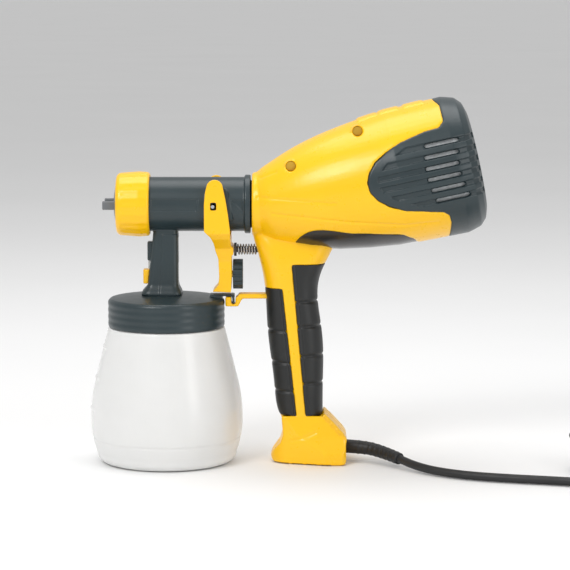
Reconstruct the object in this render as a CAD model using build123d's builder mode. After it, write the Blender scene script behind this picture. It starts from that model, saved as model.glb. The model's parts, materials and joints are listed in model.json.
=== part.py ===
"""Hand-held electric fine sprayer with a screw-on cup.

Millimetres. The origin is the centre of the cup's base, on the surface that the sprayer stands on.
+Z is up, the nozzle points along -X and the handle stands on the +X side. The left side of the gun is -Y.
"""

import os
from math import cos, pi, radians, sin, tan

from build123d import *

os.makedirs("parts", exist_ok=True)

# Driving dimensions
AXIS_Z = 194.0  # height of the barrel's axis
BARREL_R = 20.25
BARREL_WALL = 2.6
BARREL_FRONT_X = -28.0
COLLAR_X = 59.0  # the collar that meets the gun
COLLAR_R = 21.9
GUN_FRONT_X = 64.3
SPIGOT_R = 17.5
SPIGOT_END_X = 76.0

NUT_R = 24.3
NUT_FRONT_X = -36.7
NUT_REAR_X = -11.7
THREAD_R = 20.3

CUP_R = 57.1
CUP_BASE_R = 45.0
CUP_SHOULDER_Z = 101.9
CUP_NECK_R = 40.2
CUP_RIM_Z = 117.0
CUP_WALL = 1.6
LID_R = 43.6
LID_BOTTOM_Z = 102.3
LID_EDGE_Z = 123.5
LID_TOP_Z = 126.5
LID_INNER_R = 41.0

TRIGGER_PIVOT = (37.0, 206.5)  # x and z of the pivot axis
TRIGGER_IN_Y = 21.0
TRIGGER_OUT_Y = 24.5
TRIGGER_BOTTOM_Z = 128.6
NEEDLE_PIN_X = 35.6
KNOB_Z = 141.5
KNOB_R = 11.2
PLUNGER_Z = 160.0

MOTOR_TILT = 12.5  # degrees, nose down
MOTOR_ORIGIN = (66.54, 0, 190.56)
MOTOR_REAR = 168.8  # length of the motor housing along its axis
SHELL = 2.5
GRIP_THICK = 2.6
PANEL_THICK = 1.2
PAD_HEIGHT = 1.1
PARTING_GAP = 0.1  # between the two housing halves
COVER_GAP = 0.35  # between the rear cover and the housing halves
ARM_HALF_Y = 6.5

CORD_R = 3.1
SLEEVE_R = 5.5
COIL_CENTRE = (352.0, -66.0)
COIL_MEAN_R = 34.0
TURN = 2 * CORD_R

# Planes whose local x runs along a turned piece's axis, and local y is its radius
UPRIGHT = Plane(origin=(0, 0, 0), x_dir=(0, 0, 1), z_dir=(0, 1, 0))
BARREL = Plane(origin=(0, 0, AXIS_Z), x_dir=(1, 0, 0), z_dir=(0, -1, 0))
KNOB = Plane(origin=(0, 0, KNOB_Z), x_dir=(1, 0, 0), z_dir=(0, -1, 0))
PLUNGER = Plane(origin=(0, 0, PLUNGER_Z), x_dir=(1, 0, 0), z_dir=(0, -1, 0))
MOTOR = Plane(
    origin=MOTOR_ORIGIN,
    x_dir=(cos(radians(MOTOR_TILT)), 0, sin(radians(MOTOR_TILT))),
    z_dir=(0, -1, 0),
)


def save(builder, name):
    builder.part.label = name
    export_step(builder.part, f"parts/{name}.step")


def axis_of(plane):
    return Axis(plane.origin, plane.x_dir)


def profile_of(plane):
    """The plane turned about its own x, so that the seams of revolved faces stay off the parting plane."""
    turn = radians(40)
    return Plane(origin=plane.origin, x_dir=plane.x_dir, z_dir=plane.z_dir * cos(turn) + plane.y_dir * sin(turn))


def turned(plane, *outlines):
    """A group of solids of revolution; each outline is a closed list of (along, radius)."""
    with BuildPart() as piece:
        for outline in outlines:
            with BuildSketch(profile_of(plane)):
                with BuildLine():
                    Polyline(*outline, close=True)
                make_face()
            revolve(axis=axis_of(plane))
    return piece


def tube(start, end, outer, inner=0.0):
    """The outline of a straight tube for turned()."""
    return [(start, inner), (start, outer), (end, outer), (end, inner)]


def slab(points, half_width, y=0.0):
    """A side outline in (x, z), extruded to both sides of the plane at y."""
    with BuildPart(mode=Mode.PRIVATE) as piece:
        with BuildSketch(Plane.XZ.offset(-y)):
            with BuildLine():
                Polyline(*points, close=True)
            make_face()
        extrude(amount=half_width, both=True)
    return piece.part


def cross_rod(x, z, radius, y_from, y_to):
    """A rod along Y."""
    with BuildPart(mode=Mode.PRIVATE) as piece:
        with BuildSketch(Plane.XZ.offset(-y_from)):
            with Locations((x, z)):
                Circle(radius)
        extrude(amount=y_from - y_to)
    return piece.part


# ---------------------------------------------------------------- cup


def cup_form(inset):
    """The cup's solid form, its walls and floor moved in by inset: a cone over a wide belly and a small foot."""
    belly_z = 33.0
    low_r = 76.0  # radius of the arc from the base corner to the belly
    high_r = 120.0  # radius of the arc from the belly to the cone
    cone = radians(14)
    floor_z = inset * 1.2
    corner_z = 7.4
    corner_r = CUP_R - low_r + (low_r**2 - (belly_z - corner_z) ** 2) ** 0.5 - inset
    belly_r = CUP_R - inset
    arc_end_r = belly_r - high_r * (1 - cos(cone))
    arc_end_z = belly_z + high_r * sin(cone)
    top_r = arc_end_r - (CUP_SHOULDER_Z - inset - arc_end_z) * tan(cone)
    neck_r = CUP_NECK_R - inset
    with BuildPart(mode=Mode.PRIVATE) as form:
        with BuildSketch(UPRIGHT):
            with BuildLine():
                Line((floor_z, 0), (floor_z, CUP_BASE_R))
                ThreePointArc(
                    (floor_z, CUP_BASE_R),
                    (floor_z + (corner_z - floor_z) * 0.3, CUP_BASE_R + (corner_r - CUP_BASE_R) * 0.72),
                    (corner_z, corner_r),
                )
                low_mid_z = (corner_z + belly_z) / 2
                low_mid_r = belly_r - low_r + (low_r**2 - (belly_z - low_mid_z) ** 2) ** 0.5
                ThreePointArc((corner_z, corner_r), (low_mid_z, low_mid_r), (belly_z, belly_r))
                ThreePointArc(
                    (belly_z, belly_r),
                    (belly_z + high_r * sin(cone / 2), belly_r - high_r * (1 - cos(cone / 2))),
                    (arc_end_z, arc_end_r),
                )
                Polyline(
                    (arc_end_z, arc_end_r),
                    (CUP_SHOULDER_Z - inset, top_r),
                    (CUP_SHOULDER_Z - inset, neck_r),
                    (CUP_RIM_Z, neck_r),
                    (CUP_RIM_Z, 0),
                    (floor_z, 0),
                )
            make_face()
        revolve(axis=axis_of(UPRIGHT))
    return form.part


with BuildPart() as cup:
    add(cup_form(0))
    add(cup_form(CUP_WALL), mode=Mode.SUBTRACT)
    # two thread ridges on the neck
    for ridge_z in (106.5, 111.5):
        with BuildSketch(UPRIGHT):
            with BuildLine():
                Polyline(
                    (ridge_z - 1.2, CUP_NECK_R - 0.4),
                    (ridge_z, CUP_NECK_R + 0.5),
                    (ridge_z + 1.2, CUP_NECK_R - 0.4),
                    close=True,
                )
            make_face()
        revolve(axis=axis_of(UPRIGHT))
save(cup, "cup")

# ---------------------------------------------------------------- lid and what hangs under it

HOOK_GAP_X = (48.9, 51.9)  # the slot in the gun's hook block
TONGUE_HALF_Y = 6.0
TUBE_R = 6.0

with BuildPart() as cup_lid:
    with BuildSketch(UPRIGHT):
        with BuildLine():
            Polyline(
                (LID_EDGE_Z, LID_R - 1.8),
                (LID_EDGE_Z - 1.8, LID_R),
                (LID_BOTTOM_Z + 0.6, LID_R),
                (LID_BOTTOM_Z, LID_R - 0.6),
                (LID_BOTTOM_Z, LID_INNER_R),
                (118.5, LID_INNER_R),
                (118.5, TUBE_R),
                (LID_TOP_Z, TUBE_R),
            )
            ThreePointArc((LID_TOP_Z, TUBE_R), (LID_TOP_Z - 0.8, LID_R * 0.56), (LID_EDGE_Z, LID_R - 1.8))
        make_face()
    revolve(axis=axis_of(UPRIGHT))
    # tongue towards the gun, with a lip that hangs in the hook block
    add(slab([(33, 122), (33, 126.6), (42, 126.6), (42, 122)], TONGUE_HALF_Y))
    add(slab([(41, 125.1), (41, 126.6), (51.2, 126.6), (51.2, 120), (49.4, 120), (49.4, 125.1)], TONGUE_HALF_Y))
save(cup_lid, "cup_lid")

lid_gasket = turned(UPRIGHT, tube(117.3, 118.5, 40.6, 35.5))
save(lid_gasket, "lid_gasket")

suction_tube = turned(UPRIGHT, tube(6.0, 128.0, TUBE_R, 4.6))
save(suction_tube, "suction_tube")

# ---------------------------------------------------------------- barrel with its stem

STEM_TOP_Z = 182.0
INNER_TUBE_R = 7.0
PAINT_BORE_R = 3.2
CHEEK_Y = 20.7

with BuildPart() as barrel:
    # outer wall, collar and spigot
    with BuildSketch(BARREL):
        with BuildLine():
            Polyline(
                (BARREL_FRONT_X, BARREL_R - BARREL_WALL),
                (BARREL_FRONT_X, THREAD_R - 0.6),
                (BARREL_FRONT_X + 0.6, THREAD_R),
                (-11.0, THREAD_R),
                (-11.0, BARREL_R),
                (COLLAR_X, BARREL_R),
                (COLLAR_X, COLLAR_R),
                (63.3, COLLAR_R),
                (63.3, SPIGOT_R),
                (SPIGOT_END_X, SPIGOT_R),
                (SPIGOT_END_X, 15.2),
                (56.0, 15.2),
                (56.0, BARREL_R - BARREL_WALL),
                close=True,
            )
        make_face()
    revolve(axis=axis_of(BARREL))
    # flat cheeks that carry the trigger, one on each side
    cheek = [(29, 184), (30.5, 203), (33, 210), (41.5, 210), (46.5, 205), (50.5, 184)]
    for side in (-1, 1):
        add(slab(cheek, 2.2, side * (CHEEK_Y - 2.2)))
    # stem down to the lid
    with BuildSketch(Plane.XY.offset(LID_TOP_Z)):
        with Locations((-3.2, 0)):
            RectangleRounded(26.0, 21.0, 4.0)
    with BuildSketch(Plane.XY.offset(134.0)):
        with Locations((-2.2, 0)):
            RectangleRounded(22.5, 19.0, 4.0)
    with BuildSketch(Plane.XY.offset(STEM_TOP_Z)):
        with Locations((0.4, 0)):
            RectangleRounded(17.6, 17.0, 4.0)
    loft(ruled=True)
    # the air passage is cleared again after the stem has run into it
    with BuildSketch(BARREL):
        with BuildLine():
            Polyline(*tube(BARREL_FRONT_X, 56.0, BARREL_R - BARREL_WALL), close=True)
        make_face()
    revolve(axis=axis_of(BARREL), mode=Mode.SUBTRACT)
    # paint tube along the axis, held by four webs and joined to the stem by a post
    with BuildSketch(BARREL):
        with BuildLine():
            Polyline(*tube(-22.0, 24.0, INNER_TUBE_R), close=True)
        make_face()
    revolve(axis=axis_of(BARREL))
    with BuildSketch(Plane.YZ.offset(-18.0)):
        with Locations((0, AXIS_Z)):
            Rectangle(2.4, 2 * BARREL_R - BARREL_WALL)
            Rectangle(2 * BARREL_R - BARREL_WALL, 2.4)
    extrude(amount=14.0)
    with BuildSketch(Plane.XY.offset(AXIS_Z - BARREL_R + 0.5)):
        Circle(6.0)
    extrude(amount=BARREL_R - INNER_TUBE_R + 1.0)
    # rear web that the needle spring rests on
    with BuildSketch(BARREL):
        with BuildLine():
            Polyline(*tube(57.0, 59.5, 6.5), close=True)
        make_face()
    revolve(axis=axis_of(BARREL))
    with BuildSketch(Plane.YZ.offset(57.0)):
        with Locations((0, AXIS_Z)):
            Rectangle(2.4, 31.0)
    extrude(amount=2.5)
    # needle bore, paint bore, and slots for the cross pin
    with BuildSketch(BARREL):
        with BuildLine():
            Polyline(*tube(-22.0, 24.0, 3.0), close=True)
        make_face()
    revolve(axis=axis_of(BARREL), mode=Mode.SUBTRACT)
    with BuildSketch(Plane.XY.offset(LID_TOP_Z)):
        Circle(PAINT_BORE_R)
    extrude(amount=AXIS_Z - LID_TOP_Z, mode=Mode.SUBTRACT)
    with BuildSketch(Plane.XY.offset(LID_TOP_Z)):
        Circle(TUBE_R + 0.01)
    extrude(amount=1.6, mode=Mode.SUBTRACT)
    add(slab([(33.6, 192.0), (33.6, 196.0), (40.6, 196.0), (40.6, 192.0)], 30.0), mode=Mode.SUBTRACT)
    # pivot studs for the trigger
    for side in (-1, 1):
        add(cross_rod(*TRIGGER_PIVOT, 2.6, side * 15.0, side * 23.4))
    # socket for the vent hose on the front of the stem
    with BuildSketch(Plane.XY.offset(152.0)):
        with Locations((-10.4, 0)):
            RectangleRounded(7.0, 8.0, 1.2)
    extrude(amount=14.0)
    with BuildSketch(Plane.XY.offset(152.0)):
        with Locations((-11.4, 0)):
            Circle(1.2)
    extrude(amount=8.0, mode=Mode.SUBTRACT)
save(barrel, "barrel")

needle_packing = turned(BARREL, tube(18.0, 23.5, 3.0, 1.6))
save(needle_packing, "needle_packing")

fluid_nozzle = turned(
    BARREL,
    [(-35.2, 1.2), (-35.2, 2.4), (-30.0, 5.2), (-26.0, 5.2), (-26.0, 9.0), (-22.0, 9.0), (-22.0, 3.0), (-28.0, 3.0)],
)
save(fluid_nozzle, "fluid_nozzle")

nozzle_seal = turned(BARREL, tube(-29.6, BARREL_FRONT_X, 19.4, 16.2))
save(nozzle_seal, "nozzle_seal")

# ---------------------------------------------------------------- air cap and union nut

HORN_Y = 12.5

with BuildPart() as air_cap:
    with BuildSketch(BARREL):
        with BuildLine():
            Polyline(
                (-34.0, 16.0),
                (-34.0, 19.0),
                (-31.0, 19.0),
                (-30.2, 16.0),
                (-30.2, 5.8),
                (-36.5, 4.4),
                (-38.5, 7.0),
                (-37.0, 16.0),
                close=True,
            )
        make_face()
    revolve(axis=axis_of(BARREL))
    for side in (-1, 1):
        with BuildSketch(Plane.YZ.offset(-46.5)):
            with Locations((side * HORN_Y, AXIS_Z)):
                RectangleRounded(5.0, 6.3, 1.0)
        extrude(amount=12.0)
save(air_cap, "air_cap")

with BuildPart() as union_nut:
    with BuildSketch(BARREL):
        with BuildLine():
            Polyline(
                (NUT_REAR_X, THREAD_R + 0.35),
                (NUT_REAR_X, NUT_R - 1.6),
                (NUT_REAR_X - 1.2, NUT_R - 0.5),
                (-19.5, NUT_R),
                (-33.5, NUT_R - 1.0),
            )
            ThreePointArc((-33.5, NUT_R - 1.0), (-35.9, NUT_R - 2.4), (NUT_FRONT_X, NUT_R - 5.0))
            Polyline(
                (NUT_FRONT_X, NUT_R - 5.0),
                (NUT_FRONT_X, 16.4),
                (-34.3, 16.4),
                (-34.3, 19.4),
                (-29.9, THREAD_R + 0.35),
                (NUT_REAR_X, THREAD_R + 0.35),
            )
        make_face()
    revolve(axis=axis_of(BARREL))
save(union_nut, "union_nut")

# ---------------------------------------------------------------- needle

with BuildPart() as needle:
    with BuildSketch(BARREL):
        with BuildLine():
            Polyline((-36.2, 0), (-34.8, 1.0), (-31.0, 1.5), (53.0, 1.5), (53.0, 0), close=True)
        make_face()
    revolve(axis=axis_of(BARREL))
    with BuildSketch(BARREL):
        with BuildLine():
            Polyline(*tube(NEEDLE_PIN_X - 3.0, NEEDLE_PIN_X + 3.0, 3.4), close=True)
        make_face()
    revolve(axis=axis_of(BARREL))
    add(cross_rod(NEEDLE_PIN_X, AXIS_Z, 1.3, -5.0, 5.0), mode=Mode.SUBTRACT)
save(needle, "needle")

with BuildPart() as needle_pin:
    add(cross_rod(NEEDLE_PIN_X, AXIS_Z, 1.3, -23.8, 23.8))
save(needle_pin, "needle_pin")

needle_spring = turned(BARREL, tube(NEEDLE_PIN_X + 3.0, 54.0, 4.4, 3.2))
save(needle_spring, "needle_spring")

# ---------------------------------------------------------------- trigger, flow screw and knob

with BuildPart() as trigger:
    with BuildSketch(Plane.XZ):
        with BuildLine():
            ThreePointArc((31.0, 208.6), (36.2, 213.8), (42.8, 209.9))
            Polyline(
                (42.8, 209.9),
                (44.9, 200.1),
                (46.7, 189.6),
                (48.3, 177.0),
                (48.8, 166.7),
                (48.8, 164.0),
                (50.6, 162.6),
                (50.6, 157.4),
                (49.2, 156.0),
                (49.4, 140.5),
                (48.7, TRIGGER_BOTTOM_Z),
                (35.0, TRIGGER_BOTTOM_Z + 0.6),
                (36.4, 131.0),
                (39.3, 134.2),
                (39.9, 140.5),
                (39.3, 154.0),
                (37.2, 160.0),
                (36.0, 166.2),
                (33.6, 171.2),
                (29.2, 175.5),
                (29.2, 196.3),
                (30.0, 204.3),
                (31.0, 208.6),
            )
        make_face()
    extrude(amount=TRIGGER_OUT_Y, both=True)
    # the fork leaves room for the barrel, and the finger piece is narrower than the fork
    add(slab([(20, 169.2), (20, 220), (60, 220), (60, 169.2)], TRIGGER_IN_Y), mode=Mode.SUBTRACT)
    for side in (-1, 1):
        with BuildSketch(Plane.YZ.offset(25.0)):
            with BuildLine():
                Polyline(
                    (side * 11.0, 120.0),
                    (side * 11.0, 152.0),
                    (side * 14.0, 162.0),
                    (side * 21.5, 169.5),
                    (side * 24.6, 174.0),
                    (side * 30.0, 174.0),
                    (side * 30.0, 120.0),
                    close=True,
                )
            make_face()
        extrude(amount=30.0, mode=Mode.SUBTRACT)
    # pivot holes and the windows for the needle's cross pin
    add(cross_rod(*TRIGGER_PIVOT, 2.65, -23.45, 23.45), mode=Mode.SUBTRACT)
    window = [(33.9, 191.3), (33.9, 197.1), (38.3, 197.1), (38.3, 191.3)]
    add(slab(window, 30.0), mode=Mode.SUBTRACT)
    # threaded hole for the flow screw
    with BuildSketch(Plane.YZ.offset(42.0)):
        with Locations((0, KNOB_Z)):
            Circle(2.6)
    extrude(amount=10.0, mode=Mode.SUBTRACT)
save(trigger, "trigger")

with BuildPart() as flow_knob:
    with BuildSketch(Plane.YZ.offset(50.1)):
        with Locations((0, KNOB_Z)):
            Circle(KNOB_R)
            with PolarLocations(KNOB_R + 0.3, 12):
                Circle(1.3, mode=Mode.SUBTRACT)
            Circle(2.5, mode=Mode.SUBTRACT)
    extrude(amount=7.4)
save(flow_knob, "flow_knob")

flow_screw = turned(KNOB, tube(43.0, 57.5, 2.5))
save(flow_screw, "flow_screw")

# ---------------------------------------------------------------- cup pressure line on the stem

VENT_X = -11.4

with BuildPart() as vent_hose:
    with BuildSketch(Plane.XY.offset(143.5)):
        with Locations((VENT_X, 0)):
            Circle(1.2)
    extrude(amount=16.5)
    with BuildSketch(Plane.XY.offset(145.2)):
        with Locations((VENT_X, 0)):
            Circle(2.0)
            Circle(1.2, mode=Mode.SUBTRACT)
    extrude(amount=6.8)

# the stem's front face leans forwards, so the hose is trimmed where the stem stands
with BuildPart() as vent_trimmed:
    add(vent_hose.part)
    add(barrel.part, mode=Mode.SUBTRACT)
save(vent_trimmed, "vent_hose")

with BuildPart() as vent_valve_cap:
    with BuildSketch(Plane.XY.offset(134.6)):
        with Locations((VENT_X - 1.2, 0)):
            RectangleRounded(9.0, 11.0, 2.5)
    extrude(amount=10.6)
    with BuildSketch(Plane.XY.offset(143.5)):
        with Locations((VENT_X, 0)):
            Circle(1.2)
    extrude(amount=3.0, mode=Mode.SUBTRACT)
    add(barrel.part, mode=Mode.SUBTRACT)
    with BuildSketch(Plane.XY.offset(134.6)):
        with Locations((VENT_X - 2.0, 0)):
            Circle(2.0)
    extrude(amount=1.2, mode=Mode.SUBTRACT)
save(vent_valve_cap, "vent_valve_cap")

with BuildPart() as vent_diaphragm:
    with BuildSketch(Plane.XY.offset(134.6)):
        with Locations((VENT_X - 2.0, 0)):
            Circle(2.0)
    extrude(amount=1.2)
    add(barrel.part, mode=Mode.SUBTRACT)
save(vent_diaphragm, "vent_diaphragm")

# ---------------------------------------------------------------- forms of the gun's housing


# the motor housing's outline, as (along, radius) from its front to its rear edge
MOTOR_OUTLINE = (
    (3.0, 23.5), (10.0, 28.0), (20.0, 32.2), (36.0, 38.0), (56.0, 43.2), (78.0, 47.0),
    (100.0, 49.6), (155.0, 50.9), (162.0, 48.8), (166.6, 44.0), (168.8, 37.0),
)  # fmt: skip


def motor_form(inset):
    """The round motor housing, its surface moved in by inset."""
    rear_s = MOTOR_REAR - inset
    outline = [(min(along, rear_s), radius - inset) for along, radius in MOTOR_OUTLINE]
    with BuildPart(mode=Mode.PRIVATE) as form:
        with BuildSketch(profile_of(MOTOR)):
            with BuildLine():
                Polyline((3.0, 0), *outline, (rear_s, 0), close=True)
            make_face()
        revolve(axis=axis_of(MOTOR))
    return form.part


# height, front x, rear x and half width of the handle's sections
HANDLE_SECTIONS = (
    (34.0, 86.2, 117.4, 16.0),
    (46.0, 82.2, 117.4, 16.5),
    (64.0, 80.4, 117.6, 17.0),
    (94.0, 76.6, 117.2, 17.2),
    (118.0, 75.0, 114.0, 17.0),
    (143.0, 72.4, 116.0, 17.6),
    (160.0, 68.0, 124.0, 17.0),
    (172.0, 65.0, 122.0, 13.0),
)


def handle_form(inset):
    with BuildPart(mode=Mode.PRIVATE) as form:
        for height, front, rear, half_width in HANDLE_SECTIONS:
            with BuildSketch(Plane.XY.offset(height)):
                with Locations(((front + rear) / 2, 0)):
                    RectangleRounded(
                        rear - front - 2 * inset, 2 * (half_width - inset), (half_width - inset) * 0.8
                    )
        loft()
    return form.part


def foot_form(inset):
    """The foot: a side outline, a plan with a rounded nose, and flared ends, each moved in by inset."""
    side = [
        (86.2 + inset, 36.0),
        (87.4 + inset, 22.0),
        (85.6 + inset, 15.5),
        (79.6 + inset, 8.5),
        (78.2 + inset, 4.0),
        (80.0 + inset, inset),
        (134.2 - inset, inset),
        (135.0 - inset, 4.0),
        (134.4 - inset, 18.6 - inset),
        (130.6 - inset, 22.0 - inset),
        (122.0 - inset, 31.5 - inset),
        (117.4 - inset, 36.0),
    ]
    with BuildPart(mode=Mode.PRIVATE) as form:
        add(slab(side, 40.0))
        with BuildPart(mode=Mode.PRIVATE) as plan:
            with BuildSketch(Plane.XY.offset(-5)):
                with BuildLine():
                    ThreePointArc((92, -17 + inset), (78.1 + inset, 0), (92, 17 - inset))
                    Polyline((92, 17 - inset), (118, 24.6 - inset), (132 - inset, 25 - inset))
                    Polyline((132 - inset, 25 - inset), (135.2 - inset, 22 - inset), (135.2 - inset, -22 + inset))
                    Polyline((135.2 - inset, -22 + inset), (132 - inset, -25 + inset), (118, -24.6 + inset))
                    Line((118, -24.6 + inset), (92, -17 + inset))
                make_face()
            extrude(amount=60)
        add(plan.part, mode=Mode.INTERSECT)
        with BuildPart(mode=Mode.PRIVATE) as end:
            with BuildSketch(Plane.YZ.offset(70)):
                with BuildLine():
                    Polyline(
                        (-25 + inset, -1),
                        (-25 + inset, 8),
                        (-19.5 + inset, 20),
                        (-16 + inset, 36.5),
                        (16 - inset, 36.5),
                        (19.5 - inset, 20),
                        (25 - inset, 8),
                        (25 - inset, -1),
                        close=True,
                    )
                make_face()
            extrude(amount=80)
        add(end.part, mode=Mode.INTERSECT)
    return form.part


# the rear cover's side outline: a tongue along each side and the whole rear end, as (x, z)
REAR_OUTLINE = (
    (197.5, 285.0), (198.5, 271.4), (202.6, 268.0), (204.6, 257.5), (201.0, 252.6), (190.5, 249.8),
    (173.5, 242.2), (163.5, 236.0), (154.5, 228.0), (150.2, 220.0), (149.2, 213.0), (151.5, 206.0),
    (157.0, 200.6), (165.5, 196.2), (176.0, 193.6), (204.9, 192.4), (209.4, 190.0), (211.4, 184.0),
    (211.2, 165.0), (260.0, 165.0), (260.0, 285.0),
)  # fmt: skip


def rear_region(grow):
    """The block that holds the rear cover, its outline moved out by grow."""
    with BuildPart(mode=Mode.PRIVATE) as region:
        with BuildSketch(Plane.XZ):
            with BuildLine():
                Polyline(*REAR_OUTLINE, close=True)
            make_face()
            if grow:
                offset(amount=grow, kind=Kind.INTERSECTION)
        extrude(amount=70, both=True)
    return region.part


def belly_region():
    """The side outline of the soft panel under the motor."""
    with BuildPart(mode=Mode.PRIVATE) as region:
        with BuildSketch(Plane.XZ):
            with BuildLine():
                Polyline((94.0, 150.0), (95.0, 161.0))
                Spline((95.0, 161.0), (100.0, 171.6), (110.0, 177.2), (123.0, 177.4), (142.0, 175.4))
                Polyline((142.0, 175.4), (176.0, 174.2), (185.0, 171.0), (192.0, 163.0), (192.0, 150.0))
                Line((192.0, 150.0), (94.0, 150.0))
            make_face()
        extrude(amount=60, both=True)
    return region.part


# the strip of housing that shows between the two grips
STRIP_BOTTOM = (36.0, 97.6, 104.4)  # height, front x, rear x
STRIP_TOP = (150.0, 85.0, 94.0)


def grip_region(front_side):
    low_z, low_front, low_rear = STRIP_BOTTOM
    high_z, high_front, high_rear = STRIP_TOP
    if front_side:
        return slab([(60, low_z), (low_front, low_z), (high_front + 2.0, 132.0), (60, 132.0)], 30.0)
    return slab([(low_rear, low_z), (140, low_z), (140, high_z), (high_rear, high_z)], 30.0)


# side outline of the arm and hook block under the trigger, as (x, z)
ARM_OUTLINE = [
    (44.3, 117.5), (44.3, 124.7), (54.0, 124.7), (54.0, 127.0),
    (78.0, 127.0), (78.0, 123.3), (57.0, 123.3), (54.0, 117.5),
]  # fmt: skip

# ---------------------------------------------------------------- soft-touch grips and belly panel

with BuildPart() as front_grip:
    add(handle_form(0))
    add(handle_form(GRIP_THICK), mode=Mode.SUBTRACT)
    add(grip_region(True), mode=Mode.INTERSECT)
    add(slab(ARM_OUTLINE, ARM_HALF_Y + 0.1), mode=Mode.SUBTRACT)
save(front_grip, "front_grip")

with BuildPart() as rear_grip:
    add(handle_form(0))
    add(handle_form(GRIP_THICK), mode=Mode.SUBTRACT)
    add(grip_region(False), mode=Mode.INTERSECT)
    add(motor_form(0), mode=Mode.SUBTRACT)
save(rear_grip, "rear_grip")

with BuildPart() as belly_panel:
    add(motor_form(0))
    add(motor_form(PANEL_THICK), mode=Mode.SUBTRACT)
    add(belly_region(), mode=Mode.INTERSECT)
    add(handle_form(0), mode=Mode.SUBTRACT)
save(belly_panel, "belly_panel")

# ---------------------------------------------------------------- housing halves

SCREW_PLACES = ((93.2, 224.0, 24.5, 19.5), (142.3, 249.8, 25.0, 20.0))  # x, z, wall y, head y
SOCKET_R = 21.0
SLEEVE_Z = 10.6

def skin_cutter(region, inner, kept):
    """What a panel takes out of the housing: its side outline, down to the form inner and not into the form kept."""
    with BuildPart(mode=Mode.PRIVATE) as cutter:
        add(region)
        add(inner, mode=Mode.SUBTRACT)
        add(kept, mode=Mode.SUBTRACT)
    return cutter.part


def crest_pads():
    """Three raised pads in a row on the crest of the motor housing."""
    with BuildPart(mode=Mode.PRIVATE) as pads:
        add(motor_form(-PAD_HEIGHT))
        add(motor_form(0.6), mode=Mode.SUBTRACT)
        with BuildPart(mode=Mode.PRIVATE) as blocks:
            for start in (88.5, 105.0, 124.0):
                with BuildSketch(MOTOR):
                    with Locations((start + 7.2, 48.0)):
                        Rectangle(14.4, 16.0)
                extrude(amount=11.0, both=True)
        add(blocks.part, mode=Mode.INTERSECT)
    return pads.part


with BuildPart() as housing:
    add(motor_form(0))
    add(handle_form(0))
    add(foot_form(0))
    # front ring round the socket
    with BuildSketch(profile_of(BARREL)):
        with BuildLine():
            Polyline(
                (GUN_FRONT_X, 0), (GUN_FRONT_X, 22.6), (GUN_FRONT_X + 1.2, 23.6), (86.0, 25.5), (86.0, 0), close=True
            )
        make_face()
    revolve(axis=axis_of(BARREL))
    # hollow inside
    add(motor_form(SHELL), mode=Mode.SUBTRACT)
    add(handle_form(SHELL + GRIP_THICK), mode=Mode.SUBTRACT)
    add(foot_form(SHELL), mode=Mode.SUBTRACT)
    with BuildSketch(profile_of(BARREL)):
        with BuildLine():
            Polyline(*tube(60.0, 84.0, SOCKET_R), close=True)
        make_face()
    revolve(axis=axis_of(BARREL), mode=Mode.SUBTRACT)
    # room for the grips, the belly panel and the rear cover
    grip_core = handle_form(GRIP_THICK)
    add(skin_cutter(grip_region(True), grip_core, motor_form(0)), mode=Mode.SUBTRACT)
    add(skin_cutter(grip_region(False), grip_core, motor_form(0)), mode=Mode.SUBTRACT)
    add(skin_cutter(belly_region(), motor_form(PANEL_THICK), handle_form(0)), mode=Mode.SUBTRACT)
    add(crest_pads())
    add(rear_region(COVER_GAP), mode=Mode.SUBTRACT)
    # screw bosses, with recesses for the heads on the left
    for x, z, wall_y, head_y in SCREW_PLACES:
        add(cross_rod(x, z, 4.6, -wall_y + 1.0, wall_y - 1.0))
        add(cross_rod(x, z, 3.8, -60.0, -head_y), mode=Mode.SUBTRACT)
        add(cross_rod(x, z, 1.6, -head_y, 12.0), mode=Mode.SUBTRACT)
    # arm and hook block under the trigger
    add(slab(ARM_OUTLINE, ARM_HALF_Y))
    slot_front, slot_rear = HOOK_GAP_X
    slot = [(slot_front, 119.0), (slot_front, 130.0), (slot_rear, 130.0), (slot_rear, 119.0)]
    add(slab(slot, ARM_HALF_Y + 1.0), mode=Mode.SUBTRACT)
    # holes for the switch plunger and the bend protector
    with BuildSketch(profile_of(PLUNGER)):
        with BuildLine():
            Polyline(*tube(60.0, 76.0, 5.4), close=True)
        make_face()
    revolve(axis=axis_of(PLUNGER), mode=Mode.SUBTRACT)
    with BuildSketch(Plane.YZ.offset(125.0)):
        with Locations((0, SLEEVE_Z)):
            Circle(SLEEVE_R + 0.05)
    extrude(amount=15.0, mode=Mode.SUBTRACT)

def half_space(side):
    """A block that holds everything on one side of the parting plane, just clear of the plane itself."""
    with BuildPart(mode=Mode.PRIVATE) as block:
        with BuildSketch(Plane.XZ.offset(-side * PARTING_GAP / 2)):
            with Locations((150, 150)):
                Rectangle(300, 300)
        extrude(amount=-side * 70)
    return block.part


with BuildPart() as left_housing:
    add(housing.part)
    add(half_space(-1), mode=Mode.INTERSECT)
save(left_housing, "left_housing")

with BuildPart() as right_housing:
    add(housing.part)
    add(half_space(1), mode=Mode.INTERSECT)
save(right_housing, "right_housing")

with BuildPart() as housing_screws:
    for x, z, wall_y, head_y in SCREW_PLACES:
        add(cross_rod(x, z, 3.4, -head_y - 2.4, -head_y))
        add(cross_rod(x, z, 1.6, -head_y, 11.0))
save(housing_screws, "housing_screws")

# ---------------------------------------------------------------- rear cover and filter

with BuildPart() as rear_cover:
    add(motor_form(0))
    add(motor_form(SHELL), mode=Mode.SUBTRACT)
    add(rear_region(0), mode=Mode.INTERSECT)
    # six see-through slots on each side
    for number in range(6):
        across = 21.4 - 8.1 * number
        along = 144.0 - 3.2 * sin(pi * number / 5)
        with BuildSketch(MOTOR):
            with Locations((along, across)):
                SlotOverall(25.0, 2.5)
        extrude(amount=60, both=True, mode=Mode.SUBTRACT)
save(rear_cover, "rear_cover")

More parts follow.
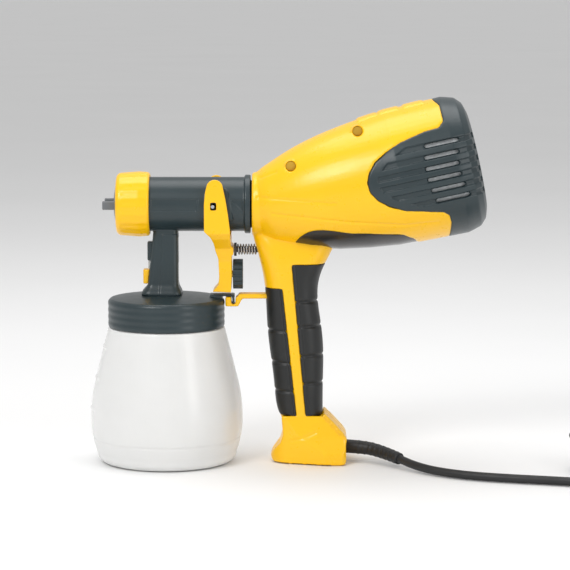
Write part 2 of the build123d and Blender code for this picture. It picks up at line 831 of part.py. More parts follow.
air_filter = turned(MOTOR, [(129.0, 44.0), (129.0, 47.2), (158.0, 47.4), (158.0, 0), (155.0, 0), (155.0, 44.0)])
save(air_filter, "air_filter")

# ---------------------------------------------------------------- socket at the front of the gun

bayonet_socket = turned(
    BARREL, [(64.6, SPIGOT_R + 0.1), (64.6, SOCKET_R), (80.0, SOCKET_R), (80.0, 14.0), (78.5, 14.0), (78.5, SPIGOT_R + 0.1)]
)
save(bayonet_socket, "bayonet_socket")

socket_seal = turned(BARREL, tube(76.6, 78.5, SPIGOT_R, 15.0))
save(socket_seal, "socket_seal")

# ---------------------------------------------------------------- turbine and motor, along the tilted axis

SHAFT_R = 4.0

outlet_funnel = turned(MOTOR, [(40.0, 23.0), (40.0, 24.6), (56.0, 38.4), (56.0, 36.6)])
save(outlet_funnel, "outlet_funnel")

turbine_case = turned(
    MOTOR,
    [
        (56.0, 34.0), (56.0, 40.0), (80.0, 40.0), (80.0, 14.0), (78.4, 14.0), (78.4, 38.4), (69.0, 38.4),
        (69.0, 9.0), (67.6, 9.0), (67.6, 38.4), (57.5, 38.4), (57.5, 34.0),
    ],
)  # fmt: skip
save(turbine_case, "turbine_case")

impellers = turned(
    MOTOR,
    [(59.0, SHAFT_R), (59.0, 37.0), (60.0, 37.0), (66.5, 12.0), (66.5, SHAFT_R)],
    [(70.2, SHAFT_R), (70.2, 37.0), (71.2, 37.0), (77.4, 12.0), (77.4, SHAFT_R)],
)
save(impellers, "impellers")

front_motor_mount = turned(MOTOR, tube(68.0, 76.0, 42.8, 40.0))
save(front_motor_mount, "front_motor_mount")

rear_motor_mount = turned(MOTOR, tube(122.0, 127.5, 45.3, 36.0))
save(rear_motor_mount, "rear_motor_mount")

with BuildPart() as motor_frame:
    for outline in (tube(81.0, 84.0, 36.0, 9.0), tube(139.0, 142.0, 36.0, 9.0)):
        with BuildSketch(MOTOR):
            with BuildLine():
                Polyline(*outline, close=True)
            make_face()
        revolve(axis=axis_of(MOTOR))
    rod_plane = Plane(origin=MOTOR.origin + MOTOR.x_dir * 84.0, x_dir=(0, 1, 0), z_dir=MOTOR.x_dir)
    with BuildSketch(rod_plane):
        with PolarLocations(33.4, 4, start_angle=45):
            Circle(2.5)
    extrude(amount=55.0)
save(motor_frame, "motor_frame")

motor_bearings = turned(MOTOR, tube(80.8, 85.4, 9.0, SHAFT_R + 0.05), tube(138.6, 143.2, 9.0, SHAFT_R + 0.05))
save(motor_bearings, "motor_bearings")

motor_stator = turned(MOTOR, tube(92.0, 120.0, 30.6, 18.4))
save(motor_stator, "motor_stator")

field_coils = turned(MOTOR, tube(86.2, 92.0, 29.0, 19.5), tube(120.0, 126.0, 29.0, 19.5))
save(field_coils, "field_coils")

rotor_shaft = turned(MOTOR, tube(58.0, 145.0, SHAFT_R))
save(rotor_shaft, "rotor_shaft")

rotor_core = turned(MOTOR, tube(92.0, 120.0, 17.8, SHAFT_R))
save(rotor_core, "rotor_core")

rotor_windings = turned(MOTOR, tube(87.0, 92.0, 14.5, SHAFT_R), tube(120.0, 125.5, 14.5, SHAFT_R))
save(rotor_windings, "rotor_windings")

commutator = turned(MOTOR, tube(127.0, 137.0, 9.0, SHAFT_R))
save(commutator, "commutator")

BRUSH_S = 132.0

with BuildPart() as brush_holders:
    for side in (-1, 1):
        with BuildSketch(MOTOR.offset(side * 10.5)):
            with Locations((BRUSH_S, 0)):
                Rectangle(11.0, 9.0)
                Rectangle(7.0, 5.0, mode=Mode.SUBTRACT)
        extrude(amount=side * 16.0)
save(brush_holders, "brush_holders")

with BuildPart() as carbon_brushes:
    for side in (-1, 1):
        with BuildSketch(MOTOR.offset(side * 9.2)):
            with Locations((BRUSH_S, 0)):
                Rectangle(7.0, 5.0)
        extrude(amount=side * 12.0)
save(carbon_brushes, "carbon_brushes")

# ---------------------------------------------------------------- switch and wiring

with BuildPart() as switch_body:
    with BuildSketch(Plane.XY.offset(152.0)):
        with Locations((91.0, 0)):
            Rectangle(19.0, 15.0)
    extrude(amount=15.0)
    with BuildSketch(PLUNGER):
        with BuildLine():
            Polyline(*tube(81.0, 95.0, 2.35), close=True)
        make_face()
    revolve(axis=axis_of(PLUNGER), mode=Mode.SUBTRACT)
save(switch_body, "switch_body")

switch_plunger = turned(
    PLUNGER, [(50.9, 0), (50.9, 4.6), (51.3, 5.0), (52.8, 5.0), (52.8, 2.25), (84.0, 2.25), (84.0, 0)]
)
save(switch_plunger, "switch_plunger")

plunger_spring = turned(PLUNGER, tube(52.8, 68.0, 4.3, 3.0))
save(plunger_spring, "plunger_spring")

with BuildPart() as suppressor:
    with BuildSketch(Plane.XY.offset(110.0)):
        with Locations((103.0, 0)):
            Circle(5.0)
    extrude(amount=18.0)
save(suppressor, "suppressor")

with BuildPart() as inner_leads:
    for side in (-1, 1):
        with BuildLine():
            FilletPolyline(
                (111.0, side * 3.0, 21.0),
                (107.0, side * 3.0, 28.0),
                (101.0, side * 3.5, 60.0),
                (93.0, side * 3.5, 110.0),
                (90.0, side * 3.5, 151.7),
                radius=12.0,
            )
        with BuildSketch(Plane(origin=(111.0, side * 3.0, 21.0), z_dir=(-4.0, 0, 7.0))):
            Circle(1.1)
        sweep()
save(inner_leads, "inner_leads")

with BuildPart() as cord_clamp:
    with BuildSketch(Plane.XY.offset(4.0)):
        with Locations((113.0, 0)):
            Rectangle(12.0, 24.0)
    extrude(amount=15.0)
    with BuildSketch(Plane.YZ.offset(100.0)):
        with Locations((0, SLEEVE_Z)):
            Circle(SLEEVE_R - 0.6)
    extrude(amount=30.0, mode=Mode.SUBTRACT)
save(cord_clamp, "cord_clamp")

# ---------------------------------------------------------------- mains cord

# centre line of the bend protector, out of the foot and down to the surface
SLEEVE_ROUTE = [(128.0, 0, SLEEVE_Z), (148.0, -2.0, 10.2), (163.0, -13.0, 8.2), (174.0, -29.0, 6.3)]
# centre line of the free cord, from the bend protector to the coil
CORD_ROUTE = [
    (174.0, -29.0, 6.3),
    (184.0, -44.0, 4.4),
    (198.0, -60.0, 3.4),
    (222.0, -76.0, 3.2),
    (252.0, -86.0, 3.2),
    (284.0, -94.0, 3.2),
    (314.0, -103.0, 3.2),
    (345.0, -106.3, 3.2),
]


def route_radii(route, name):
    """A radius for each corner, as large as its two runs allow."""
    radii = []
    for before, corner, after in zip(route, route[1:], route[2:]):
        incoming = Vector(*corner) - Vector(*before)
        outgoing = Vector(*after) - Vector(*corner)
        half_turn = radians(incoming.get_angle(outgoing) / 2)
        radii.append(0.45 * min(incoming.length, outgoing.length) / tan(half_turn))
    print(name, "radii", [round(r, 1) for r in radii])
    return radii


def lay_tube(route, radius, name):
    """A round tube along a route of straight runs and tangent arcs."""
    with BuildPart() as piece:
        with BuildLine() as path:
            FilletPolyline(*route, radius=route_radii(route, name))
        start = Plane(origin=route[0], z_dir=Vector(*route[1]) - Vector(*route[0]))
        with BuildSketch(start):
            Circle(radius)
        sweep(path=path.wires()[0])
    expected = pi * radius**2 * path.wires()[0].length
    print(name, "length", round(path.wires()[0].length, 1), "volume ratio", round(piece.part.volume / expected, 4))
    return piece


sleeve_tube = lay_tube(SLEEVE_ROUTE, SLEEVE_R, "cord_sleeve")
with BuildPart() as cord_sleeve:
    add(sleeve_tube.part)
    with BuildSketch(Plane.YZ.offset(127.0)):
        with Locations((0, SLEEVE_Z)):
            Circle(7.6)
    extrude(amount=3.6)
save(cord_sleeve, "cord_sleeve")

cord = lay_tube(CORD_ROUTE, CORD_R, "cord")
save(cord, "cord")

COIL_UPRIGHT = Plane(origin=(*COIL_CENTRE, 0), x_dir=(0, 0, 1), z_dir=(0, 1, 0))
COIL_IN_R = COIL_MEAN_R - 1.5 * TURN
COIL_OUT_R = COIL_MEAN_R + 1.5 * TURN
COIL_TOP_Z = 3 * TURN + 0.2

cord_coil = turned(
    COIL_UPRIGHT,
    [
        (0, COIL_IN_R),
        (0, COIL_OUT_R),
        (2 * TURN, COIL_OUT_R),
        (COIL_TOP_Z, COIL_MEAN_R + 0.6 * TURN),
        (COIL_TOP_Z, COIL_MEAN_R - 0.6 * TURN),
        (2 * TURN, COIL_IN_R),
    ],
)
save(cord_coil, "cord_coil")

# a flat tie round the bundle of turns, on the side away from the object
with BuildPart() as coil_tie:
    with BuildSketch(Plane.XZ.offset(-COIL_CENTRE[1])):
        with BuildLine():
            Polyline(
                (COIL_CENTRE[0] + COIL_IN_R - 0.9, 0),
                (COIL_CENTRE[0] + COIL_OUT_R + 0.9, 0),
                (COIL_CENTRE[0] + COIL_OUT_R + 0.9, 2 * TURN + 0.4),
                (COIL_CENTRE[0] + COIL_MEAN_R + 0.7 * TURN, COIL_TOP_Z + 0.9),
                (COIL_CENTRE[0] + COIL_MEAN_R - 0.7 * TURN, COIL_TOP_Z + 0.9),
                (COIL_CENTRE[0] + COIL_IN_R - 0.9, 2 * TURN + 0.4),
                close=True,
            )
        make_face()
    extrude(amount=4.5, both=True)
    add(cord_coil.part, mode=Mode.SUBTRACT)
save(coil_tie, "coil_tie")

# flat two-pin plug, lying across the top of the coil
PLUG_Z = COIL_TOP_Z + 7.2
PLUG_BACK_X = COIL_CENTRE[0] - 38.0
PLUG_Y = COIL_CENTRE[1] + 20.0
PIN_R = 2.0
PIN_SPACING = 18.6

with BuildPart() as plug_body:
    with BuildSketch(Plane.YZ.offset(PLUG_BACK_X)):
        with Locations((PLUG_Y, PLUG_Z)):
            Circle(4.6)
    extrude(amount=14.0)
    with BuildSketch(Plane.YZ.offset(PLUG_BACK_X + 12.0)):
        with Locations((PLUG_Y, PLUG_Z)):
            RectangleRounded(16.0, 11.0, 4.0)
    with BuildSketch(Plane.YZ.offset(PLUG_BACK_X + 26.0)):
        with Locations((PLUG_Y, PLUG_Z)):
            RectangleRounded(35.0, 14.0, 6.5)
    loft(ruled=True)
    with BuildSketch(Plane.YZ.offset(PLUG_BACK_X + 26.0)):
        with Locations((PLUG_Y, PLUG_Z)):
            RectangleRounded(35.0, 14.0, 6.5)
    extrude(amount=12.0)
save(plug_body, "plug_body")

with BuildPart() as plug_pins:
    with BuildSketch(Plane.YZ.offset(PLUG_BACK_X + 38.0)):
        with Locations((PLUG_Y - PIN_SPACING / 2, PLUG_Z), (PLUG_Y + PIN_SPACING / 2, PLUG_Z)):
            Circle(PIN_R)
    extrude(amount=19.0)
save(plug_pins, "plug_pins")
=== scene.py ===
import json
import math

import bmesh
import bpy
import numpy as np
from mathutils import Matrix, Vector

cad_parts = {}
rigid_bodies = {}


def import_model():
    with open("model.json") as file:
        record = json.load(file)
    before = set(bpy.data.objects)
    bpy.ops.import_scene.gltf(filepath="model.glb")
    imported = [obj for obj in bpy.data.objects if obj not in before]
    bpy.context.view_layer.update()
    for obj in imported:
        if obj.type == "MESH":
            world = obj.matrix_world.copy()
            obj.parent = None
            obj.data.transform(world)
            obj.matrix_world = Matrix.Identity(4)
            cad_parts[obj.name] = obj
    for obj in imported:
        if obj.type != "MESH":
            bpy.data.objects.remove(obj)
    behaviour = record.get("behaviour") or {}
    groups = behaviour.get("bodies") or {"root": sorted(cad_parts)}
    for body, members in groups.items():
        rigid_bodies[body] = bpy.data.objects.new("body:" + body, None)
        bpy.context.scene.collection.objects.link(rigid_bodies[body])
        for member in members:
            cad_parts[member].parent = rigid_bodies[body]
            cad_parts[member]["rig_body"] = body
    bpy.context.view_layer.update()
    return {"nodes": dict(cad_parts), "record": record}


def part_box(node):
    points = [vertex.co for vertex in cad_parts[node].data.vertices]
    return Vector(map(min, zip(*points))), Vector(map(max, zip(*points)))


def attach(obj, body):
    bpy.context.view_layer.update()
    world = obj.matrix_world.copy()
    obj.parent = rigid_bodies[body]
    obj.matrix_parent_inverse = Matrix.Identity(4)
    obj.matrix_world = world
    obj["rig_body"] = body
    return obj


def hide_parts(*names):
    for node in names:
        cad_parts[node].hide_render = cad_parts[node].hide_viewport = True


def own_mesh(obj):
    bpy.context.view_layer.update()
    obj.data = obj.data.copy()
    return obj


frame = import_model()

MM = 0.001
nodes = frame["nodes"]
slot_of = {part["node"]: part["material_slot"] for part in frame["record"]["subparts"]}


# ---------------------------------------------------------------- camera, floor and light

EYE = Vector((0.089, -1.8, 0.36))
TARGET = Vector((0.089, 0.0, 0.133))
VIEW_WIDTH = 0.4275  # what the frame shows across, at the target
LIGHT_TARGET = (0.12, 0.0, 0.13)
WORLD_STRENGTH = 0.62
FLOOR_HALF = 60.0
FLOOR_DROP = 0.0004  # keeps the floor just under what stands on it


def aim(thing, place, target):
    thing.location = place
    thing.rotation_euler = (Vector(target) - Vector(place)).to_track_quat("-Z", "Y").to_euler()


def add_camera():
    data = bpy.data.cameras.new("camera")
    data.sensor_width = 36.0
    data.lens = data.sensor_width * (TARGET - EYE).length / VIEW_WIDTH
    data.clip_start = 0.05
    camera = bpy.data.objects.new("camera", data)
    bpy.context.collection.objects.link(camera)
    aim(camera, EYE, TARGET)
    bpy.context.scene.camera = camera


def add_area_light(name, place, size, power):
    data = bpy.data.lights.new(name, "AREA")
    data.shape = "RECTANGLE"
    data.size, data.size_y = size
    data.energy = power
    lamp = bpy.data.objects.new(name, data)
    bpy.context.collection.objects.link(lamp)
    aim(lamp, place, LIGHT_TARGET)


def add_floor(material):
    mesh = bpy.data.meshes.new("floor")
    signs = [(-1, -1), (1, -1), (1, 1), (-1, 1)]
    corners = [(FLOOR_HALF * across, FLOOR_HALF * deep, 0) for across, deep in signs]
    mesh.from_pydata(corners, [], [(0, 1, 2, 3)])
    mesh.materials.append(material)
    floor = bpy.data.objects.new("floor", mesh)
    floor.location.z = -FLOOR_DROP
    bpy.context.collection.objects.link(floor)


def add_world():
    world = bpy.data.worlds.new("studio")
    world.use_nodes = True
    background = world.node_tree.nodes["Background"]
    background.inputs["Color"].default_value = (1.0, 1.0, 1.0, 1.0)
    background.inputs["Strength"].default_value = WORLD_STRENGTH
    bpy.context.scene.world = world
    bpy.context.scene.view_settings.view_transform = "Standard"


# ---------------------------------------------------------------- materials


def shaded(colour, factor):
    return (*[min(1.0, channel * factor) for channel in colour], 1.0)


def surface(name, colour, roughness, grain=900.0, relief=0.04, patch=30.0, tint=0.06, **constants):
    """A moulded or cast surface: soft patches of tint, uneven gloss and a fine grain in the normal."""
    material = bpy.data.materials.new(name)
    material.use_nodes = True
    tree = material.node_tree
    shader = tree.nodes["Principled BSDF"]
    place = tree.nodes.new("ShaderNodeTexCoord")

    def noise(scale, detail):
        node = tree.nodes.new("ShaderNodeTexNoise")
        node.inputs["Scale"].default_value = scale
        node.inputs["Detail"].default_value = detail
        tree.links.new(place.outputs["Object"], node.inputs["Vector"])
        return node.outputs["Fac"]

    ramp = tree.nodes.new("ShaderNodeValToRGB")
    ramp.color_ramp.elements[0].position = 0.3
    ramp.color_ramp.elements[1].position = 0.7
    ramp.color_ramp.elements[0].color = shaded(colour, 1 - tint)
    ramp.color_ramp.elements[1].color = shaded(colour, 1 + tint)
    tree.links.new(noise(patch, 4.0), ramp.inputs["Fac"])
    tree.links.new(ramp.outputs["Color"], shader.inputs["Base Color"])

    gloss = tree.nodes.new("ShaderNodeMapRange")
    gloss.inputs["To Min"].default_value = roughness * 0.85
    gloss.inputs["To Max"].default_value = min(1.0, roughness * 1.2)
    tree.links.new(noise(patch * 5, 6.0), gloss.inputs["Value"])
    tree.links.new(gloss.outputs["Result"], shader.inputs["Roughness"])

    bump = tree.nodes.new("ShaderNodeBump")
    bump.inputs["Strength"].default_value = 0.5
    bump.inputs["Distance"].default_value = relief * MM
    tree.links.new(noise(grain, 3.0), bump.inputs["Height"])
    tree.links.new(bump.outputs["Normal"], shader.inputs["Normal"])

    for socket, value in constants.items():
        shader.inputs[socket.replace("_", " ")].default_value = value
    return material


def make_materials():
    """One material for each slot in the record, and those of the screws and the floor."""
    return {
        "yellow_plastic": surface("yellow_plastic", (0.94, 0.52, 0.0), 0.28, tint=0.02, relief=0.02),
        "slate_plastic": surface("slate_plastic", (0.019, 0.033, 0.038), 0.34, relief=0.03, tint=0.08),
        "black_panel": surface("black_panel", (0.012, 0.012, 0.013), 0.22, relief=0.02, tint=0.15),
        "grip_rubber": surface(
            "grip_rubber", (0.008, 0.009, 0.009), 0.42, grain=1500.0, relief=0.05, tint=0.2,
        ),  # fmt: skip
        "cup_plastic": surface(
            "cup_plastic", (0.93, 0.93, 0.91), 0.24, tint=0.015, relief=0.02, Subsurface_Weight=0.5,
            Subsurface_Scale=0.008, Subsurface_Radius=(1.0, 1.0, 1.0), Transmission_Weight=0.08,
        ),  # fmt: skip
        "nozzle_grey": surface("nozzle_grey", (0.13, 0.14, 0.15), 0.38, tint=0.08),
        "inner_plastic": surface("inner_plastic", (0.06, 0.06, 0.065), 0.5, tint=0.1),
        "clear_hose": surface("clear_hose", (0.78, 0.8, 0.78), 0.2, tint=0.02, Transmission_Weight=0.5),
        "black_rubber": surface(
            "black_rubber", (0.013, 0.013, 0.014), 0.62, grain=1300.0, relief=0.06, tint=0.2,
        ),  # fmt: skip
        "filter_felt": surface(
            "filter_felt", (0.42, 0.44, 0.45), 0.95, grain=2400.0, relief=0.3, patch=300.0, tint=0.2,
        ),  # fmt: skip
        # steel screw heads tinted yellow: the yellow is a painted reflection of the yellow housing round
        # their sunk heads, not a finish of the screws
        "screw_painted_reflection": surface(
            "screw_painted_reflection", (0.7, 0.42, 0.06), 0.35, relief=0.02, tint=0.15, Metallic=1.0,
        ),  # fmt: skip
        "steel": surface("steel", (0.55, 0.56, 0.58), 0.28, grain=2000.0, relief=0.01, Metallic=1.0),
        "aluminium_parts": surface("aluminium_parts", (0.72, 0.73, 0.74), 0.36, relief=0.03, Metallic=1.0),
        "copper_wire": surface("copper_wire", (0.72, 0.32, 0.16), 0.32, relief=0.03, Metallic=1.0),
        "brass_parts": surface("brass_parts", (0.75, 0.55, 0.22), 0.3, relief=0.02, Metallic=1.0),
        "carbon": surface("carbon", (0.02, 0.02, 0.021), 0.7, relief=0.05, tint=0.2),
        "cord_black": surface(
            "cord_black", (0.012, 0.012, 0.013), 0.5, grain=1100.0, relief=0.05, tint=0.2,
        ),  # fmt: skip
        "plug_metal": surface("plug_metal", (0.7, 0.7, 0.68), 0.22, relief=0.01, Metallic=1.0),
        "floor": surface("floor", (0.86, 0.86, 0.86), 0.6, grain=200.0, relief=0.05, patch=2.0, tint=0.01),
    }


# ---------------------------------------------------------------- making pieces


def take_over(piece, node):
    """The piece stands for a CAD node: it rides on that node's body and has its finish."""
    slot = slot_of[node]
    piece.data.materials.clear()
    piece.data.materials.append(materials[slot])
    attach(piece, nodes[node]["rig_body"])
    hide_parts(node)
    return piece


def smooth_shading(mesh):
    mesh.polygons.foreach_set("use_smooth", [True] * len(mesh.polygons))


def moulded(node, voxel, rounds, shape=None):
    """A moulded piece from a CAD node's form: an even mesh, its edges rounded, then shaped by a formula.
    The formula takes places and normals, in mm, and gives how far each point moves along its normal."""
    piece = bpy.data.objects.new(node + "_moulded", nodes[node].data.copy())
    bpy.context.collection.objects.link(piece)
    even = piece.modifiers.new("even", "REMESH")
    even.mode = "VOXEL"
    even.voxel_size = voxel * MM
    soften = piece.modifiers.new("soften", "SMOOTH")
    soften.factor = 0.5
    soften.iterations = rounds
    seen = piece.evaluated_get(bpy.context.evaluated_depsgraph_get())
    mesh = bpy.data.meshes.new_from_object(seen)
    piece.modifiers.clear()
    piece.data = mesh
    if shape:
        count = len(mesh.vertices)
        places = np.empty(count * 3)
        mesh.vertices.foreach_get("co", places)
        places = places.reshape(-1, 3) / MM
        normals = np.empty(count * 3)
        mesh.vertex_normals.foreach_get("vector", normals)
        normals = normals.reshape(-1, 3)
        places += normals * shape(places, normals)[:, None]
        mesh.vertices.foreach_set("co", (places * MM).ravel())
    smooth_shading(mesh)
    return take_over(piece, node)


# ---------------------------------------------------------------- formulas for surface detail, in mm


def dip(distance, half_width):
    """1 at distance 0, falling smoothly to 0."""
    return np.exp(-((distance / half_width) ** 2))


def step_up(value, start, width):
    """0 before start, 1 after start + width."""
    share = np.clip((value - start) / width, 0.0, 1.0)
    return share * share * (3 - 2 * share)


def inside_span(value, low, high, edge):
    return step_up(value, low - edge / 2, edge) * (1 - step_up(value, high - edge / 2, edge))


def distance_to_line(x, z, corners):
    """How far each point is from a line of runs, seen from the side."""
    nearest = np.full(len(x), 1e9)
    for (x0, z0), (x1, z1) in zip(corners, corners[1:]):
        run = (x1 - x0) ** 2 + (z1 - z0) ** 2
        along = np.clip(((x - x0) * (x1 - x0) + (z - z0) * (z1 - z0)) / run, 0.0, 1.0)
        away = np.hypot(x - x0 - along * (x1 - x0), z - z0 - along * (z1 - z0))
        nearest = np.minimum(nearest, away)
    return nearest


def inside_outline(x, z, corners, edge):
    """1 inside a closed convex outline, seen from the side and given clockwise, and 0 outside."""
    share = np.ones(len(x))
    for (x0, z0), (x1, z1) in zip(corners, corners[1:] + corners[:1]):
        length = math.hypot(x1 - x0, z1 - z0)
        depth = ((x - x0) * (z1 - z0) - (z - z0) * (x1 - x0)) / length
        share = share * step_up(depth, 0.0, edge)
    return share


MOTOR_FRONT = (66.54, 190.56)  # x and z of the motor axis's start
MOTOR_TILT = math.radians(12.5)
MOTOR_OUTLINE = (
    (3.0, 23.5), (10.0, 28.0), (20.0, 32.2), (36.0, 38.0), (56.0, 43.2), (78.0, 47.0),
    (100.0, 49.6), (155.0, 50.9), (162.0, 48.8), (166.6, 44.0), (168.8, 37.0),
)  # fmt: skip
SWELL_END = 155.0  # the outline is left as it is behind this
SWELL_LIMITS = (-0.3, 0.8)
SKIN_REACH = 1.3  # how near the outline a point is to count as outer skin


def motor_places(places):
    """Along the motor axis, across it (up), and the distance from it."""
    x = places[:, 0] - MOTOR_FRONT[0]
    z = places[:, 2] - MOTOR_FRONT[1]
    along = x * math.cos(MOTOR_TILT) + z * math.sin(MOTOR_TILT)
    across = z * math.cos(MOTOR_TILT) - x * math.sin(MOTOR_TILT)
    return along, across, np.hypot(across, places[:, 1])


def motor_swell(along):
    """How far a smooth curve through the motor outline stands above its straight runs."""
    stations = np.array([point[0] for point in MOTOR_OUTLINE])
    radii = np.array([point[1] for point in MOTOR_OUTLINE])
    slopes = np.gradient(radii, stations)
    index = np.clip(np.searchsorted(stations, along) - 1, 0, len(stations) - 2)
    run = stations[index + 1] - stations[index]
    share = np.clip((along - stations[index]) / run, 0.0, 1.0)
    curve = (
        (1 + 2 * share) * (1 - share) ** 2 * radii[index]
        + share * (1 - share) ** 2 * run * slopes[index]
        + share**2 * (3 - 2 * share) * radii[index + 1]
        + share**2 * (share - 1) * run * slopes[index + 1]
    )
    swell = curve - np.interp(along, stations, radii)
    return np.where((along > stations[0]) & (along < SWELL_END), np.clip(swell, *SWELL_LIMITS), 0.0)


def motor_skin(places):
    """1 on the outer skin of the motor housing and 0 elsewhere."""
    along, _, radius = motor_places(places)
    skin = np.interp(along, *zip(*MOTOR_OUTLINE))
    return ((np.abs(radius - skin) < SKIN_REACH) & (along > MOTOR_OUTLINE[0][0])).astype(float)


CREASES = (
    [(69.0, 201.2), (97.0, 199.9), (126.0, 198.0)],
    [(79.5, 189.4), (106.7, 187.0), (133.3, 184.4), (176.0, 182.0), (201.7, 184.8)],
    [(70.7, 214.7), (82.3, 219.8)],
)
CREASE_DEPTH = 0.5
CREASE_HALF = 0.9

FOOT_TABS = ((91.5, 94.5), (102.0, 105.0), (112.5, 115.5), (123.0, 131.5))
FOOT_CREASE = [(93.5, 17.3), (105.0, 20.7), (111.8, 24.0)]
FOOT_SHOULDER = [(114.0, 36.0), (131.0, 23.0)]
TAB_HEIGHT = 1.4
FOOT_CREASE_DEPTH = 0.6
FOOT_CREASE_HALF = 1.1
SHOULDER_RISE = 2.6
SHOULDER_HALF = 6.5


def foot_shape(x, z, normals):
    """Tabs along the foot's bottom edge, a crease on each side and a fuller shoulder."""
    tabs = np.zeros(len(x))
    for low, high in FOOT_TABS:
        tabs = tabs + inside_span(x, low, high, 0.8)
    under = (normals[:, 2] < -0.6) & (z < 1.0) & (x > 70.0)
    side = (np.abs(normals[:, 1]) > 0.4) & (z < 34.0)
    shoulder = (normals[:, 0] > 0.3) & (normals[:, 2] > 0.2) & (z < 44.0)
    moved = -TAB_HEIGHT * (1 - tabs) * under
    moved = moved - FOOT_CREASE_DEPTH * dip(distance_to_line(x, z, FOOT_CREASE), FOOT_CREASE_HALF) * side
    return moved + SHOULDER_RISE * dip(distance_to_line(x, z, FOOT_SHOULDER), SHOULDER_HALF) * shoulder


def housing_shape(places, normals):
    """The motor housing made round, with its creases, and the foot's relief."""
    x, z = places[:, 0], places[:, 2]
    along, _, _ = motor_places(places)
    skin = motor_skin(places)
    moved = motor_swell(along) * skin
    for crease in CREASES:
        moved = moved - CREASE_DEPTH * dip(distance_to_line(x, z, crease), CREASE_HALF) * skin
    return moved + foot_shape(x, z, normals)


CHANNELS = 6
CHANNEL_PITCH = 8.1
CHANNEL_TOP = 21.4
CHANNEL_HALF = 1.95
CHANNEL_DEPTH = 1.4
TONGUE_TIP = 92.0  # along the motor axis, where the middle channels start
TONGUE_CURVE = 0.055
TONGUE_MIDDLE = 2.0  # across the motor axis


def rear_cover_shape(places, normals):
    """Channels that run back from the tongue's inner contour, with the slots at their bottoms."""
    along, across, _ = motor_places(places)
    skin = motor_skin(places)
    moved = motor_swell(along) * skin
    front = TONGUE_TIP + TONGUE_CURVE * (across - TONGUE_MIDDLE) ** 2
    for number in range(CHANNELS):
        middle = CHANNEL_TOP - CHANNEL_PITCH * number
        wide = inside_span(across, middle - CHANNEL_HALF, middle + CHANNEL_HALF, 0.7)
        moved = moved - CHANNEL_DEPTH * wide * step_up(along, front, 1.5) * skin
    return moved


STRIP_HEIGHTS = (36.0, 150.0)  # the strip of housing between the grips, seen from the side
STRIP_FRONTS = (97.6, 85.0)
STRIP_REARS = (104.4, 94.0)
PAD_INSET = 2.4
GROOVE_DEPTH = 1.1
GROOVE_HALF = 1.2
LINE_DEPTH = 0.7
LINE_HALF = 0.6


def grip_shape(heights, edge):
    """Grooves across a grip at the given heights, joined by a line beside the grip's edge."""

    def shape(places, normals):
        z = places[:, 2]
        outward = np.clip(np.abs(normals[:, 1]) + np.abs(normals[:, 0]), 0.0, 1.0)
        moved = np.zeros(len(z))
        for height in heights:
            moved = moved - GROOVE_DEPTH * dip(z - height, GROOVE_HALF)
        beside = np.abs(places[:, 0] - np.interp(z, STRIP_HEIGHTS, edge)) - PAD_INSET
        on_side = np.abs(normals[:, 1]) > 0.5
        moved = np.minimum(moved, -LINE_DEPTH * dip(beside, LINE_HALF) * on_side)
        return moved * outward * (1 - step_up(np.abs(normals[:, 2]), 0.6, 0.3))

    return shape


BARREL_Z = 194.0
NUT_RIBS = 24
NUT_RIB_HEIGHT = 0.13


def round_ribs(centre_z, count, height, x_from, x_to, least_radius):
    """Ribs along a round piece whose axis lies along X."""

    def shape(places, normals):
        angle = np.arctan2(places[:, 1], places[:, 2] - centre_z)
        radius = np.hypot(places[:, 1], places[:, 2] - centre_z)
        along = inside_span(places[:, 0], x_from, x_to, 2.0)
        outward = (radius > least_radius) * (1 - np.abs(normals[:, 0]))
        return height * np.cos(count * angle) * along * outward

    return shape


SIDE_PLATE = [(-10.5, 199.6), (25.2, 199.6), (23.4, 189.8), (-10.5, 189.8)]
WEDGE = [(48.6, 199.2), (57.6, 199.2), (57.6, 189.6)]
STEM_RIB = [(-3.0, 180.0), (16.0, 180.0), (16.0, 124.0), (-5.5, 124.0)]
STEM_TOP = 172.0
STEM_FOOT = 127.0
FACE_RISE = 0.8
PLATE_DEPTH = 0.8
FLARE = 2.4
FLARE_HALF = 4.5


def barrel_shape(places, normals):
    """A sunk blank plate and a wedge on each side, and a stem with a raised face and a flared foot."""
    x, z = places[:, 0], places[:, 2]
    side = np.abs(normals[:, 1]) > 0.5
    low = inside_outline(x, z, SIDE_PLATE, 0.6) + inside_outline(x, z, WEDGE, 0.6)
    stem = (np.abs(normals[:, 2]) < 0.6) & (z < 150.0)
    face = inside_outline(x, z, STEM_RIB, 1.6) * (z < STEM_TOP)
    flare = FLARE * dip(z - STEM_FOOT, FLARE_HALF) * stem
    return (FACE_RISE * face - PLATE_DEPTH * low) * side + flare


LID_RIDGE = 0.12
LID_PITCH = 5.0


def lid_shape(places, normals):
    """Faint level ridges round the lid's skirt."""
    outward = 1 - step_up(np.abs(normals[:, 2]), 0.3, 0.3)
    radius = np.hypot(places[:, 0], places[:, 1])
    return LID_RIDGE * np.cos(places[:, 2] * 2 * math.pi / LID_PITCH) * outward * (radius > 30.0)


CUP_LINE = 18.5  # height of the line round the foot
CUP_LINE_DEPTH = 0.35
CUP_MARKS = (40.8, 64.2, 87.5)
MARK_HEIGHT = 0.7


def cup_shape(places, normals):
    """A line round the foot and short scale ridges down the front."""
    x, y, z = places.T
    outward = (normals[:, 0] * x + normals[:, 1] * y) > 0
    moved = -CUP_LINE_DEPTH * dip(z - CUP_LINE, 0.8) * outward
    front = 1 - step_up(np.abs(np.arctan2(y, -x)), 0.25, 0.15)
    for height in CUP_MARKS:
        moved = moved + MARK_HEIGHT * dip(z - height, 1.0) * front * outward
    return moved


# ---------------------------------------------------------------- cord, its bend protector and its coil

